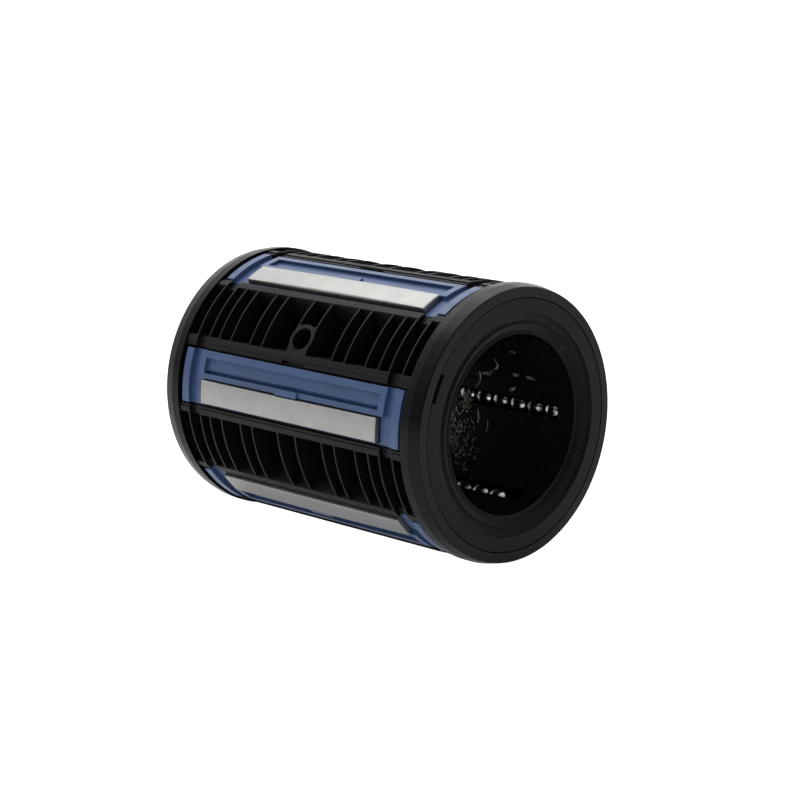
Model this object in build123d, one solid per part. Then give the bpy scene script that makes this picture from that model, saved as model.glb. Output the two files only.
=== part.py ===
"""Closed, sealed linear ball bushing for a 50 mm shaft, with six recirculating ball circuits.

Units are millimetres. The shaft axis is X, +X points out of the front end and +Z is up. The
origin is the centre of the bushing. An angle is measured about X from +Z towards -Y.

Each circuit sits in its own segment of the cage. It has a steel raceway plate with the loaded
balls under it, and a return track beside the plate, closed from outside by a blue track cover.
A segment is modelled with its middle at the top, in (t, z): t runs along the circumference and
z runs outwards. turn_to() then swings it to its own angle. A segment's hand says on which side
of its middle the plate lies.
"""
from build123d import *
from math import acos, cos, degrees, radians, sin
import os

# main sizes
LENGTH = 100.0
HOUSING_R = 37.5                # backs of the raceway plates, which touch the housing bore
SHAFT_R = 25.0                  # circle that the loaded balls touch

# balls and their circuits
BALL_R = 3.175
BALL_PITCH = 6.42
STRAIGHT_BALLS = 12             # balls in each straight, loaded or returning
TURN_BALLS = 2                  # balls in each end turn
TURN_R = 4.6                    # radius of the ball centres round an end turn
LOADED_R = SHAFT_R + BALL_R
RETURN_R = 31.4
STRAIGHT_HALF = STRAIGHT_BALLS * BALL_PITCH / 2
LOADED_ANGLE = 6.6              # from the middle of the segment to the raceway
TRACK_COSINE = (LOADED_R**2 + RETURN_R**2 - (2 * TURN_R) ** 2) / (2 * LOADED_R * RETURN_R)
RETURN_ANGLE = LOADED_ANGLE - degrees(acos(TRACK_COSINE))
TURN_STEP = 180 / TURN_BALLS    # degrees between two balls in a turn
CHANNEL_R = BALL_R + 0.175      # return track and end turns
GROOVE_R = BALL_R + 0.225       # loaded track
ROCK_LIFT = 0.375               # room for the loaded balls to rise and sink as a plate rocks

# the six segments: number, angle of the middle, hand, and where the balls stand in one pitch
SEGMENTS = (
    (1, 20, 1, 0.40),
    (2, 80, 1, 0.75),
    (3, 140, -1, 0.55),
    (4, 200, 1, 0.02),
    (5, 260, 1, 0.03),
    (6, 320, 1, 0.98),
)
SHORT_CIRCUIT = 4               # one ball short, which leaves a gap where its front turn begins

# cage
CAGE_BORE_R = 25.15
CAGE_HALF = 47.2
CORE_R = 28.2                   # floor of the ribbed pockets
ROOT_R = 27.2                   # where ribs and rails are rooted, inside the core's wall
RAIL_R = 36.9
RAIL_LOW_R = 36.6               # lower strip of each rail, beside the track cover
RAIL_OUTER_T = 10.82            # half width of a segment, to the edge of the pocket
RAIL_STEP_T = (-9.14, 9.33)
WELL_T = (-7.88, 8.5)           # well that holds the track cover
WELL_FLOOR_Z = 33.8
RIB_R = 36.8
RIB_THICKNESS = 0.5
RIB_X = (3.48, 13.81, 18.63, 26.46, 31.31, 35.39, 40.25)
BAND_X = (35.8, 39.83)          # groove round the cage, between the last two ribs
BAND_R = 35.6
SPIGOT_R = 35.85
PLATE_SLOT_FLOOR_Z = 29.8
MID_NOTCH_HALF = 4.6            # wider gap between rail and cover at mid length
MID_NOTCH_T = -8.6

# lubrication and locating hole, in a boss in the pocket between the first two segments
HOLE_ANGLE = 56
HOLE_R = 3.2
HOLE_SEAT_R = 31.5              # where the hole steps down to the drilling through the core
DRILLING_R = 2.0
BOSS_R = 4.3                    # bulges past the two middle ribs
BOSS_HALF = 3.76                # to the far sides of those ribs
BOSS_T = (-3.9, 6.5)            # from beside the hole to inside the next segment's rail

# raceway plate, in its own (t, z) with the raceway at t = 0
PLATE_HALF = 34.5
PLATE_WIDTH_HALF = 3.2
PLATE_BOTTOM_Z = 30.3
PLATE_BEVEL = 0.3
PLATE_CROWN = 0.32              # drop of the crowned back at the plate's ends
RACEWAY_R = 3.3
RACEWAY_GAP = 0.12
PLATE_SIDE_GAP = 0.3
PLATE_END_GAP = 0.4

# track cover
COVER_HALF = 42.65
COVER_T = (-7.12, 8.0)
COVER_BASE_R = 35.4
TRAY_R = 36.6
TRAY_HALF = 36.55
TRAY_EDGE_T = 0.57
RECESS_HALF = 34.3
RECESS_T = (-5.16, -0.83)
RECESS_FLOOR_R = 35.65
RECESS_SLOPE_T = -2.11
RECESS_LOW_Z = 34.85
FLANGE_X = 39.95
FLANGE_R = 36.8
TAB_HALF = 4.2
TAB_T = (-0.83, 0.8)
TAB_R = 37.2

# end ring and seal
RING_BACK_X = 44.0
RING_R = 37.3
RING_CONE_X = 46.6
RING_EDGE_X = 49.7
RING_EDGE_R = 36.65
RING_FACE_R = 36.35
RING_SEAT_R = 35.9
RING_MOUTH_R = 33.9
RING_UNDERCUT_R = 34.9
UNDERCUT_X = 48.2
SEAL_R = 33.6
SEAL_FLANGE_R = 34.7
SEAL_FLANGE_X = 48.0
SEAL_FACE_X = 49.95
SEAL_DISH_R = (29.7, 29.4, 27.6)
SEAL_DISH_X = (49.3, 48.9)
BEAD_R = (27.2, 26.8, 26.4)
BEAD_X = (49.15, 49.3, 49.1)
LIP_X = (47.9, 48.3)
LIP_ROOT_R = 26.6
PRY_SLOT_R = 32.4
PRY_SLOT_DEPTH = 1.3
PRY_SLOT_ANGLES = (58, 71)

BEYOND = 5.0                    # how far a cutting solid runs past the surface that it cuts


def turn_to(angle, shape):
    """Swing a shape about the shaft axis."""
    return Rot(angle, 0, 0) * shape


def rod(radius, x0, x1):
    """Solid cylinder on the shaft axis."""
    return Pos((x0 + x1) / 2, 0, 0) * Rot(0, 90, 0) * Cylinder(radius, x1 - x0)


def tube(inner, outer, x0, x1):
    """Hollow cylinder on the shaft axis."""
    return rod(outer, x0, x1) - rod(inner, x0 - BEYOND, x1 + BEYOND)


def block(t, z, x, hand=1):
    """Box in segment coordinates, from its (low, high) pairs."""
    box = Box(x[1] - x[0], t[1] - t[0], z[1] - z[0])
    return Pos((x[0] + x[1]) / 2, -hand * (t[0] + t[1]) / 2, (z[0] + z[1]) / 2) * box


def slab(radius, t, z_low, x, hand=1):
    """Box whose top follows a circle about the shaft axis."""
    return block(t, (z_low, radius + BEYOND), x, hand) & rod(radius, x[0] - BEYOND, x[1] + BEYOND)


def prism(points, half_length):
    """Straight bar along the shaft, from (y, z) points."""
    face = Plane.YZ * make_face(Polyline(*points, close=True))
    return extrude(face, half_length, both=True)


def turned(points):
    """Solid of revolution about the shaft, from (x, r) points."""
    face = Plane.XZ * make_face(Polyline(*points, close=True))
    return revolve(face, Axis.X)


def both_ends(x0, x1):
    """The same stretch of the axis at the front and at the rear."""
    return ((x0, x1), (-x1, -x0))


def track_point(radius, angle, hand):
    """(y, z) of a ball track in segment coordinates."""
    return (-hand * radius * sin(radians(angle)), radius * cos(radians(angle)))


def track_frame(hand):
    """Both tracks' (y, z) and the point midway, about which the end turns are made."""
    loaded = track_point(LOADED_R, LOADED_ANGLE, hand)
    returning = track_point(RETURN_R, RETURN_ANGLE, hand)
    middle = ((loaded[0] + returning[0]) / 2, (loaded[1] + returning[1]) / 2)
    return loaded, returning, middle


def closed_passage(hand):
    """The return track and both end turns, as one bent passage."""
    loaded, returning, middle = track_frame(hand)
    front_in = Vector(STRAIGHT_HALF, *loaded)
    front_out = Vector(STRAIGHT_HALF, *returning)
    rear_in = Vector(-STRAIGHT_HALF, *returning)
    rear_out = Vector(-STRAIGHT_HALF, *loaded)
    path = ThreePointArc(front_in, Vector(STRAIGHT_HALF + TURN_R, *middle), front_out)
    path += Line(front_out, rear_in)
    path += ThreePointArc(rear_in, Vector(-STRAIGHT_HALF - TURN_R, *middle), rear_out)
    return sweep(Plane(front_in, z_dir=(1, 0, 0)) * Circle(CHANNEL_R), path)


def loaded_groove(hand):
    """Groove for the loaded balls. It breaks into the bore, where its lips keep the balls in."""
    section = Pos(0, LOADED_R) * Rot(0, 0, 90) * SlotCenterToCenter(2 * ROCK_LIFT, 2 * GROOVE_R)
    groove = extrude(Plane.YZ * section, STRAIGHT_HALF + GROOVE_R, both=True)
    return turn_to(hand * LOADED_ANGLE, groove)


def plate_window(z_low, hand):
    """Space that a raceway plate needs, from z_low outwards."""
    half_width = PLATE_WIDTH_HALF + PLATE_SIDE_GAP
    half_length = PLATE_HALF + PLATE_END_GAP
    window = block((-half_width, half_width), (z_low, HOUSING_R + BEYOND), (-half_length, half_length))
    return turn_to(hand * LOADED_ANGLE, window)


def segment_cuts(hand):
    """Everything that is cut from the cage in one segment."""
    whole = (-RING_BACK_X, RING_BACK_X)
    above = HOUSING_R + BEYOND
    return (
        block(WELL_T, (WELL_FLOOR_Z, above), whole, hand),
        block(RAIL_STEP_T, (WELL_FLOOR_Z, above), whole, hand) - rod(RAIL_LOW_R, -LENGTH, LENGTH),
        block((MID_NOTCH_T, WELL_T[1]), (WELL_FLOOR_Z, above), (-MID_NOTCH_HALF, MID_NOTCH_HALF), hand),
        plate_window(PLATE_SLOT_FLOOR_Z, hand),
        loaded_groove(hand),
        closed_passage(hand),
    )


def lubrication_boss():
    """Boss round the hole. It fills the space between the two middle ribs."""
    boss = Pos(0, 0, (CORE_R + RIB_R) / 2) * Cylinder(BOSS_R, RIB_R - CORE_R + BEYOND)
    boss += block(BOSS_T, (ROOT_R, RIB_R + BEYOND), (-BOSS_HALF, BOSS_HALF))
    boss = boss & rod(RIB_R, -BEYOND, BEYOND)
    return turn_to(HOLE_ANGLE, boss)


def lubrication_hole():
    """Stepped hole from the outside through to the bore."""
    hole = Pos(0, 0, (HOLE_SEAT_R + HOUSING_R) / 2) * Cylinder(HOLE_R, HOUSING_R - HOLE_SEAT_R)
    hole += Pos(0, 0, HOLE_SEAT_R) * Cylinder(DRILLING_R, 2 * (HOLE_SEAT_R - SHAFT_R))
    return turn_to(HOLE_ANGLE, hole)


def cage():
    """Black moulded body: core tube, six segments, thin ribs and a spigot at each end."""
    body = tube(CAGE_BORE_R, CORE_R, -CAGE_HALF, CAGE_HALF)
    for x0, x1 in both_ends(RING_BACK_X, CAGE_HALF):
        body += tube(CAGE_BORE_R, SPIGOT_R, x0, x1)
    for x in RIB_X:
        for x0, x1 in both_ends(x - RIB_THICKNESS / 2, x + RIB_THICKNESS / 2):
            body += tube(ROOT_R, RIB_R, x0, x1)
    for number, angle, hand, phase in SEGMENTS:
        sides = (-RAIL_OUTER_T, RAIL_OUTER_T)
        body += turn_to(angle, slab(RAIL_R, sides, ROOT_R, (-RING_BACK_X, RING_BACK_X)))
    for x0, x1 in both_ends(*BAND_X):
        body -= tube(BAND_R, HOUSING_R + BEYOND, x0, x1)
    body += lubrication_boss()
    for number, angle, hand, phase in SEGMENTS:
        for cut in segment_cuts(hand):
            body -= turn_to(angle, cut)
    body -= lubrication_hole()
    return body - rod(CAGE_BORE_R, -LENGTH, LENGTH)


def track_cover(hand):
    """Blue cover over the return track, with a window for the plate and a flange at each end."""
    cover = slab(COVER_BASE_R, COVER_T, WELL_FLOOR_Z, (-COVER_HALF, COVER_HALF), hand)
    cover += slab(TRAY_R, (COVER_T[0], TRAY_EDGE_T), WELL_FLOOR_Z, (-TRAY_HALF, TRAY_HALF), hand)
    cover += slab(TAB_R, TAB_T, WELL_FLOOR_Z, (-TAB_HALF, TAB_HALF), hand)
    for x in both_ends(FLANGE_X, COVER_HALF):
        cover += slab(FLANGE_R, COVER_T, WELL_FLOOR_Z, x, hand)
    cover -= tray_recess(hand)
    cover -= plate_window(PLATE_SLOT_FLOOR_Z, hand)
    return cover - closed_passage(hand)


def tray_recess(hand):
    """Recess in the tray. Its floor falls away beside the plate, past the top of the return track."""
    x = (-RECESS_HALF, RECESS_HALF)
    recess = block(RECESS_T, (WELL_FLOOR_Z, TRAY_R + BEYOND), x, hand) - rod(RECESS_FLOOR_R, *x)
    slope = (
        (-hand * RECESS_SLOPE_T, RECESS_FLOOR_R),
        (-hand * RECESS_T[1], RECESS_LOW_Z),
        (-hand * RECESS_T[1], TRAY_R),
        (-hand * RECESS_SLOPE_T, TRAY_R),
    )
    return recess + prism(slope, RECESS_HALF)


def raceway_plate(hand):
    """Hardened steel plate: a raceway groove inside and a back that is crowned along its length."""
    end_r = HOUSING_R - PLATE_CROWN
    bevel_x = PLATE_HALF - PLATE_BEVEL
    crown = ThreePointArc((-bevel_x, end_r), (0, HOUSING_R), (bevel_x, end_r))
    bevel_r = end_r - PLATE_BEVEL
    front_end = Polyline((bevel_x, end_r), (PLATE_HALF, bevel_r), (PLATE_HALF, 0))
    rear_end = Polyline((-PLATE_HALF, 0), (-PLATE_HALF, bevel_r), (-bevel_x, end_r))
    outline = crown + front_end + Line((PLATE_HALF, 0), (-PLATE_HALF, 0)) + rear_end
    barrel = revolve(Plane.XZ * make_face(outline), Axis.X)
    top = HOUSING_R + PLATE_BEVEL
    shoulder = HOUSING_R - 2 * PLATE_BEVEL
    half, top_half = PLATE_WIDTH_HALF, PLATE_WIDTH_HALF - PLATE_BEVEL
    section = (
        (-half, PLATE_BOTTOM_Z), (-half, shoulder), (-top_half, top),
        (top_half, top), (half, shoulder), (half, PLATE_BOTTOM_Z),
    )
    raceway_z = LOADED_R + BALL_R + RACEWAY_GAP - RACEWAY_R
    plate = prism(section, PLATE_HALF) & barrel
    plate -= Pos(0, 0, raceway_z) * rod(RACEWAY_R, -LENGTH, LENGTH)
    return turn_to(hand * LOADED_ANGLE, plate)


def balls(centres):
    """Separate balls in one group."""
    return Compound(children=[Pos(*centre) * Sphere(BALL_R) for centre in centres])


def straight_balls(point, phase, direction):
    """Balls in a straight that they run along in +X (direction 1) or in -X (direction -1)."""
    travel = [(phase + index) * BALL_PITCH - STRAIGHT_HALF for index in range(STRAIGHT_BALLS)]
    return balls([(direction * x, *point) for x in travel])


def turn_balls(hand, phase, end, first=0):
    """Balls in an end turn, which they enter from the loaded track in front and leave by it behind."""
    loaded, returning, middle = track_frame(hand)
    reach = (end * (loaded[0] - middle[0]), end * (loaded[1] - middle[1]))
    centres = []
    for index in range(first, TURN_BALLS):
        swing = radians((phase + index) * TURN_STEP)
        x = end * (STRAIGHT_HALF + TURN_R * sin(swing))
        centres.append((x, middle[0] + reach[0] * cos(swing), middle[1] + reach[1] * cos(swing)))
    return balls(centres)


def end_ring(end):
    """Snap-on ring round the end of the cage, with a groove that holds the seal."""
    profile = (
        (RING_BACK_X, RING_SEAT_R), (RING_BACK_X, RING_R), (RING_CONE_X, RING_R),
        (RING_EDGE_X, RING_EDGE_R), (LENGTH / 2, RING_FACE_R), (LENGTH / 2, RING_MOUTH_R),
        (UNDERCUT_X, RING_MOUTH_R), (UNDERCUT_X, RING_UNDERCUT_R),
        (CAGE_HALF, RING_UNDERCUT_R), (CAGE_HALF, RING_SEAT_R),
    )
    return turned([(end * x, r) for x, r in profile])


def shaft_seal(end):
    """Rubber wiper: outer flange under the ring, flat face, dished middle, bead and lip."""
    profile = (
        (CAGE_HALF, SEAL_FLANGE_R), (SEAL_FLANGE_X, SEAL_FLANGE_R),
        (SEAL_FLANGE_X, SEAL_R), (SEAL_FACE_X, SEAL_R),
        (SEAL_FACE_X, SEAL_DISH_R[0]), (SEAL_DISH_X[0], SEAL_DISH_R[1]), (SEAL_DISH_X[1], SEAL_DISH_R[2]),
        (BEAD_X[0], BEAD_R[0]), (BEAD_X[1], BEAD_R[1]), (BEAD_X[2], BEAD_R[2]),
        (LIP_X[1], SHAFT_R), (LIP_X[0], SHAFT_R), (CAGE_HALF, LIP_ROOT_R),
    )
    seal = turned([(end * x, r) for x, r in profile])
    return seal - pry_slot(end)


def pry_slot(end):
    """Short slot in the seal's outer edge, for a tool that lifts the seal out."""
    depth_x = (SEAL_FACE_X - PRY_SLOT_DEPTH, SEAL_FACE_X + BEYOND)
    x0, x1 = sorted(end * x for x in depth_x)
    ring = tube(PRY_SLOT_R, SEAL_R + BEYOND, x0, x1)
    half_angle = (PRY_SLOT_ANGLES[1] - PRY_SLOT_ANGLES[0]) / 2
    half_width = SEAL_R * sin(radians(half_angle))
    window = block((-half_width, half_width), (SHAFT_R, HOUSING_R), (x0, x1))
    return turn_to(sum(PRY_SLOT_ANGLES) / 2, ring & window)


def save(name, shape):
    """Write one sub-part."""
    export_step(shape, f"parts/{name}.step")


os.makedirs("parts", exist_ok=True)

save("cage", cage())
for end_name, end_sign in (("front", 1), ("rear", -1)):
    save(f"{end_name}_end_ring", end_ring(end_sign))
    save(f"{end_name}_shaft_seal", shaft_seal(end_sign))

for number, angle, hand, phase in SEGMENTS:
    loaded_track, return_track, turn_middle = track_frame(hand)
    save(f"track_cover_{number}", turn_to(angle, track_cover(hand)))
    save(f"raceway_plate_{number}", turn_to(angle, raceway_plate(hand)))
    save(f"loaded_balls_{number}", turn_to(angle, straight_balls(loaded_track, phase, 1)))
    save(f"return_balls_{number}", turn_to(angle, straight_balls(return_track, phase, -1)))
    front_first = 1 if number == SHORT_CIRCUIT else 0
    save(f"front_turn_balls_{number}", turn_to(angle, turn_balls(hand, phase, 1, front_first)))
    save(f"rear_turn_balls_{number}", turn_to(angle, turn_balls(hand, phase, -1)))
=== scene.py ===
"""Looks of a closed, sealed linear ball bushing: materials, grease in the bore, camera, light and floor.

X is the shaft axis, +X points out of the front end and +Z is up. An angle is measured about X from +Z
towards -Y, in degrees. Blender's units are metres; the sizes below are in mm unless a comment says
otherwise, and the functions that place things turn them into metres.
"""

import math
import random

import bmesh
import bpy
from mathutils import Matrix, Vector


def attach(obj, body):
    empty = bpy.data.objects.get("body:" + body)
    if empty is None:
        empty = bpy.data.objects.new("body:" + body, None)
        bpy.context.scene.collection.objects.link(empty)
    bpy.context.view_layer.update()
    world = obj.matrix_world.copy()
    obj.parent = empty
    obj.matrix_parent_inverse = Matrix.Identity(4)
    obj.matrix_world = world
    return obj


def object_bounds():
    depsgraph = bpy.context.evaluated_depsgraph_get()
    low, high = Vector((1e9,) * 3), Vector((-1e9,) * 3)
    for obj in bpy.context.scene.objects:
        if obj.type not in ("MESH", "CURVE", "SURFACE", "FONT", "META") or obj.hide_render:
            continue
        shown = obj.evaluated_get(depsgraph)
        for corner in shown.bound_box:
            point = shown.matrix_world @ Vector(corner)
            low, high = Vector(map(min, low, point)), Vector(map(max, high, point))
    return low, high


MM = 0.001
BORE_R = 25.15
SEAL_FACE_X = 49.95
RAIL_R = 36.9
RAIL_HALF_LENGTH = 38.6
RAIL_OFFSET = 10.15  # from a segment's middle plane to the line on its rail

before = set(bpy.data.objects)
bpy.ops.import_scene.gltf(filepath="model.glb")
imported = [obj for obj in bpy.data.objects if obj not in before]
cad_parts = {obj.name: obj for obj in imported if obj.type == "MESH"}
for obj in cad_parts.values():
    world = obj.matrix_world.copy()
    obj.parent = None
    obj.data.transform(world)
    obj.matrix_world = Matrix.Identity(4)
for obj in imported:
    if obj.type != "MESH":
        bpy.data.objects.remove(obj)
cad_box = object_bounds()


# ---------------------------------------------------------------- node helpers

def new_material(name):
    """An empty node material with its Principled shader."""
    material = bpy.data.materials.new(name)
    material.use_nodes = True
    shader = material.node_tree.nodes["Principled BSDF"]
    return material, shader


def add_node(material, kind, **settings):
    """A node with its properties set."""
    node = material.node_tree.nodes.new(kind)
    for key, value in settings.items():
        setattr(node, key, value)
    return node


def link(material, source, target):
    """Join two sockets."""
    material.node_tree.links.new(source, target)


def object_coordinates(material, scale=(1, 1, 1)):
    """Object coordinates, in metres, multiplied along each axis."""
    coordinates = add_node(material, "ShaderNodeTexCoord")
    mapping = add_node(material, "ShaderNodeMapping")
    mapping.inputs["Scale"].default_value = scale
    link(material, coordinates.outputs["Object"], mapping.inputs["Vector"])
    return mapping.outputs["Vector"]


def noise(material, vector, per_metre, detail=3.0, roughness=0.5):
    """Noise with so many features in a metre."""
    texture = add_node(material, "ShaderNodeTexNoise")
    texture.inputs["Scale"].default_value = per_metre
    texture.inputs["Detail"].default_value = detail
    texture.inputs["Roughness"].default_value = roughness
    link(material, vector, texture.inputs["Vector"])
    return texture.outputs["Fac"]


def spread(material, value, low, high, source=(0.3, 0.7)):
    """Rescale a value from the source range to low ... high."""
    node = add_node(material, "ShaderNodeMapRange")
    node.inputs["From Min"].default_value = source[0]
    node.inputs["From Max"].default_value = source[1]
    node.inputs["To Min"].default_value = low
    node.inputs["To Max"].default_value = high
    link(material, value, node.inputs["Value"])
    return node.outputs["Result"]


def mix_colour(material, factor, first, second):
    """Blend two colours by a factor. Each colour is a tuple or a socket."""
    node = add_node(material, "ShaderNodeMix", data_type="RGBA")
    link(material, factor, node.inputs["Factor"])
    for key, colour in (("A", first), ("B", second)):
        socket = [s for s in node.inputs if s.name == key and s.type == "RGBA"][0]
        if isinstance(colour, tuple):
            socket.default_value = (*colour, 1)
        else:
            link(material, colour, socket)
    return [s for s in node.outputs if s.type == "RGBA"][0]


def soft_edges(material, radius):
    """Normals rounded over the edges, as a mould or a tumbler leaves them."""
    bevel = add_node(material, "ShaderNodeBevel", samples=6)
    bevel.inputs["Radius"].default_value = radius * MM
    return bevel.outputs["Normal"]


# cosines of the rounded normal's lean at an edge and on a flat surface
EDGE_COSINES = (0.7, 0.99)


def edge_mask(material, rounded, gain):
    """0 on flat surfaces and towards the gain at edges, from how far the rounded normal leans."""
    geometry = add_node(material, "ShaderNodeNewGeometry")
    dot = add_node(material, "ShaderNodeVectorMath", operation="DOT_PRODUCT")
    link(material, rounded, dot.inputs[0])
    link(material, geometry.outputs["Normal"], dot.inputs[1])
    return spread(material, dot.outputs["Value"], gain, 0.0, source=EDGE_COSINES)


def grain(material, height, rounded, depth):
    """Bump of a given depth on top of the rounded normals."""
    bump = add_node(material, "ShaderNodeBump")
    bump.inputs["Distance"].default_value = depth * MM
    link(material, height, bump.inputs["Height"])
    link(material, rounded, bump.inputs["Normal"])
    return bump.outputs["Normal"]


def dust(material, vector, per_metre, size):
    """1 on sparse round specks and 0 elsewhere. The size is a share of the distance between the cells
    that may hold a speck, and noise chooses the cells that do."""
    cells = add_node(material, "ShaderNodeTexVoronoi")
    cells.inputs["Scale"].default_value = per_metre
    link(material, vector, cells.inputs["Vector"])
    solid_part = size * 0.6
    speck = spread(material, cells.outputs["Distance"], 1.0, 0.0, source=(solid_part, size))
    lot = noise(material, vector, per_metre * 0.9, detail=0)
    chosen = spread(material, lot, 0.0, 1.0, source=(0.6, 0.62))
    return multiply(material, speck, chosen)


def multiply(material, first, second):
    """Product of two sockets."""
    node = add_node(material, "ShaderNodeMath", operation="MULTIPLY")
    link(material, first, node.inputs[0])
    link(material, second, node.inputs[1])
    return node.outputs["Value"]


def near_axis(material, radius, blur):
    """1 nearer the shaft axis than a radius and 0 further out, with a soft border."""
    coordinates = add_node(material, "ShaderNodeTexCoord")
    flat = add_node(material, "ShaderNodeVectorMath", operation="MULTIPLY")
    flat.inputs[1].default_value = (0, 1, 1)
    length = add_node(material, "ShaderNodeVectorMath", operation="LENGTH")
    link(material, coordinates.outputs["Object"], flat.inputs[0])
    link(material, flat.outputs["Vector"], length.inputs[0])
    border = (radius * MM, (radius + blur) * MM)
    return spread(material, length.outputs["Value"], 1.0, 0.0, source=border)


# ---------------------------------------------------------------- materials

CAGE_BLACK = (0.0036, 0.0036, 0.0038)
RING_BLACK = (0.0018, 0.0018, 0.0018)
# edge colours of the black and blue plastics: a painted highlight on the edges, also the base of the dust
# colour
BLACK_HIGHLIGHT_AND_DUST = (0.014, 0.014, 0.014)
BLUE = (0.032, 0.064, 0.152)
BLUE_HIGHLIGHT_AND_DUST = (0.085, 0.14, 0.27)
RUBBER = (0.004, 0.004, 0.004)
RUBBER_BLOOM = (0.008, 0.008, 0.0077)
# darker rubber in the seal's dish round the lip: painted shade
DISH_SHADE_RUBBER = (0.001, 0.001, 0.001)
RUBBER_DUST = (0.05, 0.05, 0.05)
STEEL = (0.28, 0.28, 0.272)
PALE_STEEL = (0.315, 0.315, 0.305)
MARKED_STEEL = (0.2, 0.2, 0.19)
# pale colour of the plates' edges: a painted highlight
STEEL_EDGE_HIGHLIGHT = (0.7, 0.7, 0.69)
GREASED_BALL = (0.06, 0.058, 0.05)
BARE_BALL = (0.5, 0.495, 0.48)


def moulded_plastic(name, colour, highlight_and_dust, rough, specular, grain_depth, edge=0.2, bore=False):
    """Moulded plastic: matt grain, flow marks in the gloss, paler edges as a painted highlight, a little
    dust.

    The edge is the radius of its rounded edges. With bore, there is oil on the wall of the bore.
    """
    material, shader = new_material(name)
    vector = object_coordinates(material)
    clouds = noise(material, vector, per_metre=90, detail=4)
    fine = noise(material, vector, per_metre=3800, detail=2)
    rounded = soft_edges(material, edge)
    paler = tuple(c * 1.35 for c in colour)
    tone = mix_colour(material, spread(material, clouds, 0.0, 0.55), colour, paler)
    # paler edges where the rounded normal leans: a painted highlight
    edge_highlit_tone = mix_colour(material, edge_mask(material, rounded, gain=0.55), tone, highlight_and_dust)
    specks = dust(material, vector, per_metre=420, size=0.09)
    dusty = mix_colour(material, specks, edge_highlit_tone, tuple(c * 1.3 + 0.01 for c in highlight_and_dust))
    link(material, dusty, shader.inputs["Base Color"])
    lengthwise = object_coordinates(material, (0.25, 1, 1))
    flow = noise(material, lengthwise, per_metre=420, detail=3)
    roughness = spread(material, flow, rough - 0.06, rough + 0.08)
    if bore:
        roughness = oily(material, roughness, flow)
    link(material, roughness, shader.inputs["Roughness"])
    link(material, grain(material, fine, rounded, grain_depth), shader.inputs["Normal"])
    shader.inputs["Specular IOR Level"].default_value = specular
    return material


def oily(material, roughness, flow):
    """Roughness with a film of oil over the bore's wall."""
    node = add_node(material, "ShaderNodeMix", data_type="FLOAT")
    link(material, near_axis(material, radius=BORE_R + 0.1, blur=0.2), node.inputs["Factor"])
    link(material, roughness, node.inputs["A"])
    link(material, spread(material, flow, 0.24, 0.28), node.inputs["B"])
    return node.outputs["Result"]


def seal_rubber(name):
    """Nitrile rubber: black, dull, with a bloom of dust, and darker in the dish round the lip as painted
    shade.
    """
    material, shader = new_material(name)
    vector = object_coordinates(material)
    bloom = noise(material, vector, per_metre=160, detail=5, roughness=0.65)
    fine = noise(material, vector, per_metre=5200, detail=2)
    rounded = soft_edges(material, 0.18)
    tone = mix_colour(material, spread(material, bloom, 0.0, 1.0), RUBBER, RUBBER_BLOOM)
    # darker nearer the axis than 28.9 mm: painted shade in the dish
    dish_shaded = mix_colour(material, near_axis(material, radius=28.9, blur=0.9), tone, DISH_SHADE_RUBBER)
    dusty = mix_colour(material, dust(material, vector, per_metre=300, size=0.07), dish_shaded, RUBBER_DUST)
    link(material, dusty, shader.inputs["Base Color"])
    link(material, spread(material, bloom, 0.42, 0.56), shader.inputs["Roughness"])
    link(material, grain(material, fine, rounded, 0.012), shader.inputs["Normal"])
    shader.inputs["Specular IOR Level"].default_value = 0.08
    return material


def ground_steel(name):
    """Hardened steel, finely ground along the plate, with a few handling marks and paler edges that are a
    painted highlight.
    """
    material, shader = new_material(name)
    along = object_coordinates(material, (0.02, 1, 1))
    lines = noise(material, along, per_metre=9000, detail=3)
    plain = object_coordinates(material)
    clouds = noise(material, plain, per_metre=130, detail=4)
    rounded = soft_edges(material, 0.16)
    specks = noise(material, plain, per_metre=1500, detail=1)
    tone = mix_colour(material, spread(material, clouds, 0.0, 1.0), STEEL, PALE_STEEL)
    marks = spread(material, specks, 0.0, 0.6, source=(0.72, 0.8))
    marked = mix_colour(material, marks, tone, MARKED_STEEL)
    # paler edges: a painted highlight
    bright = mix_colour(material, edge_mask(material, rounded, gain=0.8), marked, STEEL_EDGE_HIGHLIGHT)
    link(material, bright, shader.inputs["Base Color"])
    shader.inputs["Metallic"].default_value = 1.0
    link(material, spread(material, lines, 0.36, 0.5), shader.inputs["Roughness"])
    link(material, grain(material, lines, rounded, 0.0015), shader.inputs["Normal"])
    return material


def polished_ball(name):
    """Bearing ball: mirror steel under a thin film of grease."""
    material, shader = new_material(name)
    vector = object_coordinates(material)
    film = noise(material, vector, per_metre=620, detail=3)
    bare = spread(material, film, 0.0, 1.0, source=(0.42, 0.58))
    tone = mix_colour(material, bare, GREASED_BALL, BARE_BALL)
    link(material, tone, shader.inputs["Base Color"])
    shader.inputs["Metallic"].default_value = 1.0
    link(material, spread(material, film, 0.1, 0.24), shader.inputs["Roughness"])
    shader.inputs["Coat Weight"].default_value = 0.2
    shader.inputs["Coat Roughness"].default_value = 0.12
    return material


def wet_grease(name, thin, thick, metallic):
    """Bearing grease full of steel dust: glossy, with its colour where it is thick."""
    material, shader = new_material(name)
    vector = object_coordinates(material)
    clouds = noise(material, vector, per_metre=900, detail=4)
    tone = mix_colour(material, spread(material, clouds, 0.0, 1.0), thin, thick)
    link(material, tone, shader.inputs["Base Color"])
    link(material, spread(material, clouds, 0.06, 0.18), shader.inputs["Roughness"])
    lumps = grain(material, clouds, soft_edges(material, 0.05), 0.02)
    link(material, lumps, shader.inputs["Normal"])
    shader.inputs["Metallic"].default_value = metallic
    shader.inputs["Specular IOR Level"].default_value = 0.6
    return material


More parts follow.
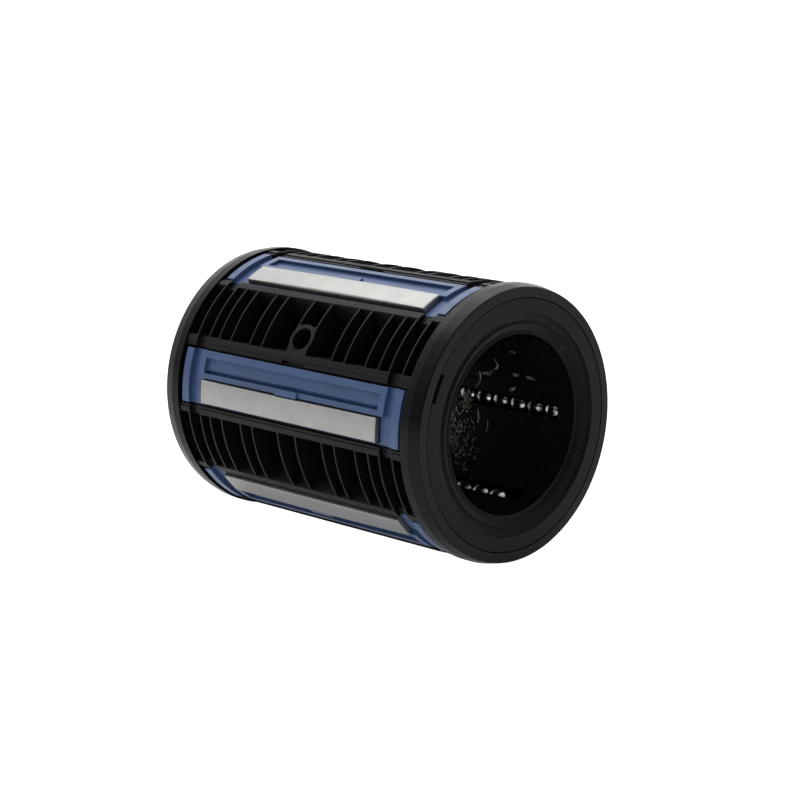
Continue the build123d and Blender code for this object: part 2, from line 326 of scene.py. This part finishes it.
def dress(nodes, material):
    """Give CAD nodes a material."""
    for name in nodes:
        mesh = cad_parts[name].data
        mesh.materials.clear()
        mesh.materials.append(material)


def named(start):
    """CAD nodes whose name starts so."""
    return [name for name in sorted(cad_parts) if name.startswith(start)]


cage_plastic = moulded_plastic(
    "cage_plastic", CAGE_BLACK, BLACK_HIGHLIGHT_AND_DUST, rough=0.44, specular=0.14, grain_depth=0.012,
    edge=0.1, bore=True)
ring_plastic = moulded_plastic(
    "ring_plastic", RING_BLACK, BLACK_HIGHLIGHT_AND_DUST, rough=0.28, specular=0.11, grain_depth=0.010)
blue_plastic = moulded_plastic(
    "blue_plastic", BLUE, BLUE_HIGHLIGHT_AND_DUST, rough=0.38, specular=0.38, grain_depth=0.008)
rubber = seal_rubber("seal_rubber")

dress(["cage"], cage_plastic)
dress(named("front_end") + named("rear_end"), ring_plastic)
dress(named("track_cover"), blue_plastic)
dress(["front_shaft_seal", "rear_shaft_seal"], rubber)
dress(named("raceway_plate"), ground_steel("plate_steel"))
ball_steel = polished_ball("ball_steel")
for group in ("loaded_balls", "return_balls", "front_turn_balls", "rear_turn_balls"):
    dress(named(group), ball_steel)


# ---------------------------------------------------------------- pieces in mesh code

def add_piece(name, mesh_maker, material):
    """A smooth-shaded piece, made by a bmesh function, that rides on the cage's body."""
    shape = bmesh.new()
    mesh_maker(shape)
    bmesh.ops.recalc_face_normals(shape, faces=shape.faces)
    mesh = bpy.data.meshes.new(name)
    shape.to_mesh(mesh)
    shape.free()
    mesh.materials.append(material)
    for polygon in mesh.polygons:
        polygon.use_smooth = True
    piece = bpy.data.objects.new(name, mesh)
    bpy.context.scene.collection.objects.link(piece)
    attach(piece, "root")


def round_point(x, radius, angle):
    """Point, in metres, at a place along the shaft axis, a radius and an angle."""
    turn = math.radians(angle)
    reach = radius * MM
    return Vector((x * MM, -reach * math.sin(turn), reach * math.cos(turn)))


def revolve(shape, profile):
    """Closed outline of (x, r) points turned about the shaft axis."""
    steps = 144
    rings = []
    for step in range(steps):
        angle = step * 360 / steps
        rings.append([shape.verts.new(round_point(x, r, angle)) for x, r in profile])
    for step, ring in enumerate(rings):
        after = rings[(step + 1) % steps]
        for k in range(len(profile)):
            k_next = (k + 1) % len(profile)
            shape.faces.new((ring[k], ring[k_next], after[k_next], after[k]))


# outline of the front seal's soft lip, as (x, r), from its root round the tip
LIP_PROFILE = (
    (47.95, 25.3), (48.0, 24.9), (48.2, 24.45), (48.42, 24.14), (48.52, 24.08), (48.6, 24.12),
    (48.58, 24.3), (48.45, 24.7), (48.35, 25.1), (48.35, 25.3),
)


def draw_front_lip(shape):
    """Soft lip of the front seal."""
    revolve(shape, LIP_PROFILE)


def draw_rear_lip(shape):
    """Soft lip of the rear seal, which mirrors the front one."""
    revolve(shape, [(-x, r) for x, r in LIP_PROFILE])


def thin_tube(shape, path, radius, closed=False):
    """Thin round bead along a path of points that are in metres."""
    sides = 6
    spokes = [Vector((math.cos(a), math.sin(a), 0)) for a in (math.tau * i / sides for i in range(sides))]
    rings = []
    count = len(path)
    for k, point in enumerate(path):
        before = path[(k - 1) % count] if closed or k else path[0]
        after = path[(k + 1) % count] if closed or k < count - 1 else path[-1]
        turn = (after - before).to_track_quat("Z", "X")
        rings.append([shape.verts.new(point + turn @ spoke * (radius * MM)) for spoke in spokes])
    for k in range(count if closed else count - 1):
        ring, after = rings[k], rings[(k + 1) % count]
        for i in range(sides):
            shape.faces.new((ring[i], ring[(i + 1) % sides], after[(i + 1) % sides], after[i]))
    if not closed:
        shape.faces.new(rings[0])
        shape.faces.new(rings[-1])


# middle angle and hand of each segment; the third is the mirror image of the others
SEGMENTS = [(20 + 60 * k, -1 if k == 2 else 1) for k in range(6)]


def draw_rail_lines(shape):
    """Fine moulding line along the outer edge of one rail of each segment."""
    for middle, hand in SEGMENTS:
        angle = middle - hand * math.degrees(math.asin(RAIL_OFFSET / RAIL_R))
        ends = [round_point(x, RAIL_R, angle) for x in (-RAIL_HALF_LENGTH, RAIL_HALF_LENGTH)]
        thin_tube(shape, ends, radius=0.05)


def draw_ejector_marks(shape):
    """Ring, 1 mm in radius, left by one of the mould's ejector pins on each seal's face."""
    pin_r = 31.07
    pin_angle = 109.7
    turns = [math.tau * k / 24 for k in range(24)]
    for side in (1, -1):
        centre = round_point(side * SEAL_FACE_X, pin_r, pin_angle)
        path = [centre + Vector((0, math.cos(a), math.sin(a))) * MM for a in turns]
        thin_tube(shape, path, radius=0.045, closed=True)


add_piece("front_seal_lip", draw_front_lip, rubber)
add_piece("rear_seal_lip", draw_rear_lip, rubber)
add_piece("rail_lines", draw_rail_lines, cage_plastic)
add_piece("ejector_marks", draw_ejector_marks, rubber)


def add_dab(shape, x, angle, length, width, height, lean):
    """Flattened drop of grease on the bore's wall. Its length runs round the bore until the lean, in
    degrees, turns it. Half of the drop is sunk in the wall."""
    foot = round_point(x, BORE_R, angle)
    inward = -Vector((0, foot.y, foot.z)).normalized()
    along = Vector((1, 0, 0))
    around = inward.cross(along)
    turn = Matrix.Rotation(math.radians(lean), 3, inward)
    rows = (turn @ around * length * MM, turn @ along * width * MM, inward * height * MM)
    axes = Matrix(rows).transposed()
    made = bmesh.ops.create_icosphere(shape, subdivisions=2, radius=0.5)
    for vertex in made["verts"]:
        vertex.co = axes @ vertex.co + foot


def strew_grease(shape):
    """Grease flung on the bore's wall: a slanting patch of drops, and stray drops between the ball rows."""
    chance = random.Random(11)
    for _ in range(210):
        angle = 241 + chance.gauss(0, 12)
        patch_edge = 1 + 0.16 * (261 - angle) + 0.3 * max(0, 235 - angle)
        x = patch_edge + abs(chance.gauss(0, 4.5))
        add_dab(shape, x, angle, chance.uniform(0.4, 1.8), chance.uniform(0.14, 0.32),
                chance.uniform(0.15, 0.4), chance.gauss(0, 20))
    for _ in range(60):
        middle, hand = chance.choice(SEGMENTS)
        x = chance.uniform(-42, 44)
        angle = middle - hand * chance.uniform(1, 40)
        add_dab(shape, x, angle, chance.uniform(0.2, 0.7), chance.uniform(0.12, 0.25),
                chance.uniform(0.06, 0.12), chance.uniform(-90, 90))


def streak(shape, start, end, bow, width, height):
    """Curved smear of overlapping dabs between two (x, angle) places, thinner towards its ends."""
    steps = 9
    dab_length = 1.5
    for k in range(steps + 1):
        share = k / steps
        x = start[0] + (end[0] - start[0]) * share + bow * math.sin(math.pi * share)
        angle = start[1] + (end[1] - start[1]) * share
        taper = 0.45 + 0.55 * math.sin(math.pi * min(share * 1.3, 1))
        lean = 12 * math.cos(math.pi * share)
        add_dab(shape, x, angle, dab_length, width * taper, height * taper, lean)


# start and end as (x, angle), bow along X, width and height of each streak
STREAKS = (
    ((20.5, 294), (17.5, 284), 1.6, 0.34, 0.4),
    ((17.5, 284), (11.0, 281), 0.4, 0.25, 0.2),
    ((13.2, 283), (11.5, 273), 0.8, 0.3, 0.35),
    ((24.0, 275), (26.5, 277), 0.2, 0.12, 0.14),
    ((19.0, 305), (20.5, 306), 0.2, 0.12, 0.14),
    ((26.0, 286), (28.5, 285.5), 0.2, 0.1, 0.12),
    ((31.0, 286), (34.5, 284.5), 0.2, 0.12, 0.12),
    ((27.5, 304), (31.5, 303), 0.2, 0.08, 0.1),
    ((12.5, 258), (13.5, 251), 0.3, 0.3, 0.35),
    ((17.0, 252), (17.3, 247), 0.2, 0.3, 0.35),
)


def smear_grease(shape):
    """All the streaks."""
    for start, end, bow, width, height in STREAKS:
        streak(shape, start, end, bow, width, height)


def heap_grease(shape):
    """Amber lump beside a row of balls, made of dabs that point away from its middle."""
    chance = random.Random(5)
    middle_x = 8
    middle_angle = 264
    degrees_per_mm = 2.6
    for _ in range(46):
        heading = chance.uniform(0, 360)
        reach = chance.uniform(0, 2.4)
        x = middle_x + reach * math.cos(math.radians(heading))
        angle = middle_angle + degrees_per_mm * reach * math.sin(math.radians(heading))
        add_dab(shape, x, angle, chance.uniform(1.0, 2.0), chance.uniform(0.35, 0.8),
                chance.uniform(0.2, 0.4), 90 - heading)


film_grease = wet_grease("bearing_grease", thin=(0.1, 0.1, 0.095), thick=(0.38, 0.375, 0.35), metallic=1.0)
thick_grease = wet_grease("thick_grease", thin=(0.04, 0.035, 0.022), thick=(0.11, 0.095, 0.06), metallic=0.2)
add_piece("bore_grease_drops", strew_grease, film_grease)
add_piece("bore_grease_streaks", smear_grease, film_grease)
add_piece("bore_grease_lump", heap_grease, thick_grease)


# ---------------------------------------------------------------- stage, light and camera

def aim(thing, target):
    """Turn a camera or a light towards a point."""
    thing.rotation_mode = "QUATERNION"
    thing.rotation_quaternion = (target - thing.location).to_track_quat("-Z", "Y")


def white_sheet(name, glow):
    """Large level white sheet under the bushing that also glows. Its half width is in metres."""
    half = 12.0
    z = cad_box[0].z
    mesh = bpy.data.meshes.new(name)
    corners = [(-half, -half, z), (half, -half, z), (half, half, z), (-half, half, z)]
    mesh.from_pydata(corners, [], [(0, 1, 2, 3)])
    sheet = bpy.data.objects.new(name, mesh)
    bpy.context.scene.collection.objects.link(sheet)
    material, shader = new_material(name + "_paper")
    clouds = noise(material, object_coordinates(material), per_metre=8, detail=2)
    tone = mix_colour(material, clouds, (0.80, 0.80, 0.80), (0.82, 0.82, 0.82))
    link(material, tone, shader.inputs["Base Color"])
    shader.inputs["Roughness"].default_value = 0.9
    shader.inputs["Specular IOR Level"].default_value = 0.0
    shader.inputs["Emission Color"].default_value = (1, 1, 1, 1)
    shader.inputs["Emission Strength"].default_value = glow
    mesh.materials.append(material)
    return sheet


def make_floor():
    """White floor to look at, and a dimmer one in its place that lights the bushing from below."""
    floor = white_sheet("floor", 0.85)
    floor.visible_diffuse = False
    floor.visible_glossy = False
    floor.visible_shadow = False
    bounce = white_sheet("floor_bounce", 0.35)
    bounce.visible_camera = False
    bounce.visible_shadow = False


def soft_light(name, location, size, power):
    """Square soft light aimed at the bushing. Its place and size are in metres and its power in watts."""
    data = bpy.data.lights.new(name, "AREA")
    data.shape = "SQUARE"
    data.size = size
    data.energy = power
    light = bpy.data.objects.new(name, data)
    light.location = location
    bpy.context.scene.collection.objects.link(light)
    aim(light, Vector((0, 0, 0)))


def make_camera():
    """Camera in front of the bushing, to its right and a little above it."""
    data = bpy.data.cameras.new("camera")
    data.sensor_width = 36.0
    data.lens = 102.66
    camera = bpy.data.objects.new("camera", data)
    camera.location = Vector((442.16, -430.84, 129.91)) * MM
    aim(camera, Vector((3.2, 3.07, -0.56)) * MM)
    bpy.context.scene.collection.objects.link(camera)
    bpy.context.scene.camera = camera


# direction in which the sky is brightest, close to a unit vector
BRIGHT_SKY = (-0.45, 0.45, 0.77)


def make_sky():
    """White sky that is bright behind and above the bushing and dim on the camera's side."""
    world = bpy.data.worlds.new("studio")
    world.use_nodes = True
    tree = world.node_tree
    background = tree.nodes["Background"]
    background.inputs["Color"].default_value = (1, 1, 1, 1)
    coordinates = tree.nodes.new("ShaderNodeTexCoord")
    towards = tree.nodes.new("ShaderNodeVectorMath")
    towards.operation = "DOT_PRODUCT"
    towards.inputs[1].default_value = BRIGHT_SKY
    ramp = tree.nodes.new("ShaderNodeMapRange")
    ramp.inputs["From Min"].default_value = -0.4
    ramp.inputs["From Max"].default_value = 0.95
    ramp.inputs["To Min"].default_value = 0.04
    ramp.inputs["To Max"].default_value = 1.6
    tree.links.new(coordinates.outputs["Generated"], towards.inputs[0])
    tree.links.new(towards.outputs["Value"], ramp.inputs["Value"])
    tree.links.new(ramp.outputs["Result"], background.inputs["Strength"])
    bpy.context.scene.world = world


make_floor()
make_sky()
make_camera()
soft_light("overhead", location=(-0.3, 0.15, 0.9), size=0.8, power=4.5)
bpy.context.scene.view_settings.view_transform = "Standard"
